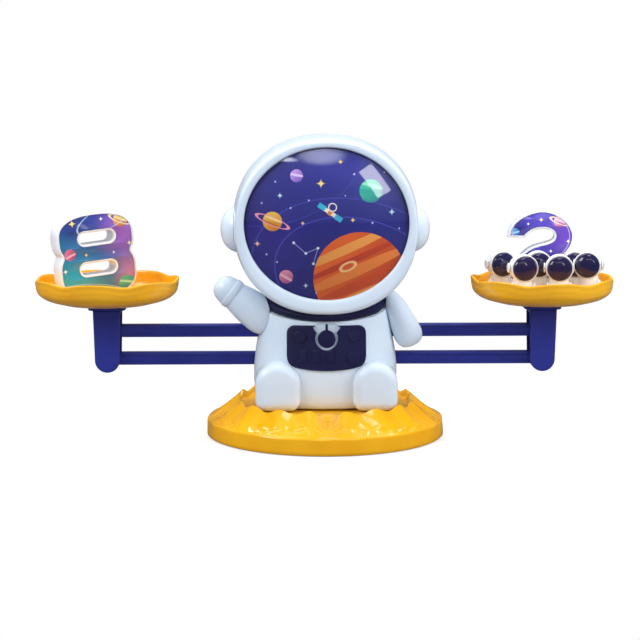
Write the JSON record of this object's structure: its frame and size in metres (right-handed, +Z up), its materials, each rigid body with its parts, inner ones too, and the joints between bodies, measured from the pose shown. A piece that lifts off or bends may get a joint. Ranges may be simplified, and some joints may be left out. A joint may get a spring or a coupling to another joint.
{
  "type": "counting balance game",
  "caption": "Tabletop counting balance: a seated space-suited figure holds two parallel beams that keep a tray level at each end, for weighing number blocks against counters.",
  "frame": {"origin": "on the table, under the middle of the base", "axes": "+Z up, +X along the beams towards the tray with the counters, -Y the figure's front"},
  "size_m": [0.3986, 0.164, 0.207],
  "materials": {
    "yellow_plastic": "moulded, glossy",
    "foot_rubber": "matt",
    "steel": "zinc plated",
    "suit_plastic": "moulded, glossy",
    "dark_plastic": "moulded, glossy",
    "navy_plastic": "moulded, satin",
    "visor_print": "printed sheet",
    "clear_plastic": "clear, polished",
    "white_plastic": "moulded, glossy",
    "eight_print": "printed sheet",
    "two_print": "printed sheet",
    "counter_plastic": "moulded, slightly translucent",
    "visor_plastic": "polished"
  },
  "bodies": {
    "stand": {"base_shell": "yellow_plastic", "rubber_foot_1": "foot_rubber", "rubber_foot_2": "foot_rubber", "rubber_foot_3": "foot_rubber", "rubber_foot_4": "foot_rubber", "base_screw_1": "steel", "base_screw_2": "steel", "base_screw_3": "steel", "body_front": "suit_plastic", "body_back": "suit_plastic", "body_screw_1": "steel", "body_screw_2": "steel", "collar": "dark_plastic", "chest_panel": "dark_plastic", "left_arm": "suit_plastic", "right_arm": "suit_plastic", "helmet_front": "suit_plastic", "helmet_back": "suit_plastic", "helmet_screw_1": "steel", "helmet_screw_2": "steel", "ear_pod_left": "suit_plastic", "ear_pod_right": "suit_plastic", "visor_print": "visor_print", "visor_lens": "clear_plastic", "lower_axle": "steel"},
    "upper_link": {"upper_beam": "navy_plastic", "upper_axle": "steel", "pointer": "dark_plastic"},
    "lower_link": {"lower_beam": "navy_plastic"},
    "left_carrier": {"left_post": "navy_plastic", "left_upper_pin": "steel", "left_lower_pin": "steel", "left_tray": "yellow_plastic"},
    "right_carrier": {"right_post": "navy_plastic", "right_upper_pin": "steel", "right_lower_pin": "steel", "right_tray": "yellow_plastic"},
    "eight": {"number_eight": "white_plastic", "number_eight_face": "eight_print", "number_eight_weight": "steel"},
    "two": {"number_two": "white_plastic", "number_two_face": "two_print"},
    "figure_1": {"counter_1": "counter_plastic", "counter_visor_1": "visor_plastic"},
    "figure_2": {"counter_2": "counter_plastic", "counter_visor_2": "visor_plastic"},
    "figure_3": {"counter_3": "counter_plastic", "counter_visor_3": "visor_plastic"},
    "figure_4": {"counter_4": "counter_plastic", "counter_visor_4": "visor_plastic"},
    "figure_5": {"counter_5": "counter_plastic", "counter_visor_5": "visor_plastic"},
    "figure_6": {"counter_6": "counter_plastic", "counter_visor_6": "visor_plastic"}
  },
  "joints": [
    {"name": "upper_beam_pivot", "type": "hinge", "parent": "stand", "child": "upper_link", "pos_m": [0, 0, 0.0722], "axis": [0, 1, 0], "range_deg": [-10, 10]},
    {"name": "lower_beam_pivot", "type": "hinge", "parent": "stand", "child": "lower_link", "pos_m": [0, 0, 0.0529], "axis": [0, 1, 0], "range_deg": [-10, 10]},
    {"name": "left_post_pivot", "type": "hinge", "parent": "upper_link", "child": "left_carrier", "pos_m": [-0.15, 0, 0.071], "axis": [0, 1, 0], "range_deg": [-10, 10]},
    {"name": "right_post_pivot", "type": "hinge", "parent": "upper_link", "child": "right_carrier", "pos_m": [0.15, 0, 0.071], "axis": [0, 1, 0], "range_deg": [-10, 10]},
    {"name": "eight_lift", "type": "slide", "parent": "left_carrier", "child": "eight", "axis": [0, 0, 1], "range_m": [0, 0.06]},
    {"name": "two_lift", "type": "slide", "parent": "right_carrier", "child": "two", "axis": [0, 0, 1], "range_m": [0, 0.06]},
    {"name": "figure_1_lift", "type": "slide", "parent": "right_carrier", "child": "figure_1", "axis": [0, 0, 1], "range_m": [0, 0.045]},
    {"name": "figure_2_lift", "type": "slide", "parent": "right_carrier", "child": "figure_2", "axis": [0, 0, 1], "range_m": [0, 0.045]},
    {"name": "figure_3_lift", "type": "slide", "parent": "right_carrier", "child": "figure_3", "axis": [0, 0, 1], "range_m": [0, 0.045]},
    {"name": "figure_4_lift", "type": "slide", "parent": "right_carrier", "child": "figure_4", "axis": [0, 0, 1], "range_m": [0, 0.045]},
    {"name": "figure_5_lift", "type": "slide", "parent": "right_carrier", "child": "figure_5", "axis": [0, 0, 1], "range_m": [0, 0.045]},
    {"name": "figure_6_lift", "type": "slide", "parent": "right_carrier", "child": "figure_6", "axis": [0, 0, 1], "range_m": [0, 0.045]}
  ],
  "couplings": [
    {"joint": "lower_beam_pivot", "follows": "upper_beam_pivot", "ratio": 1},
    {"joint": "left_post_pivot", "follows": "upper_beam_pivot", "ratio": -1},
    {"joint": "right_post_pivot", "follows": "upper_beam_pivot", "ratio": -1}
  ]
}
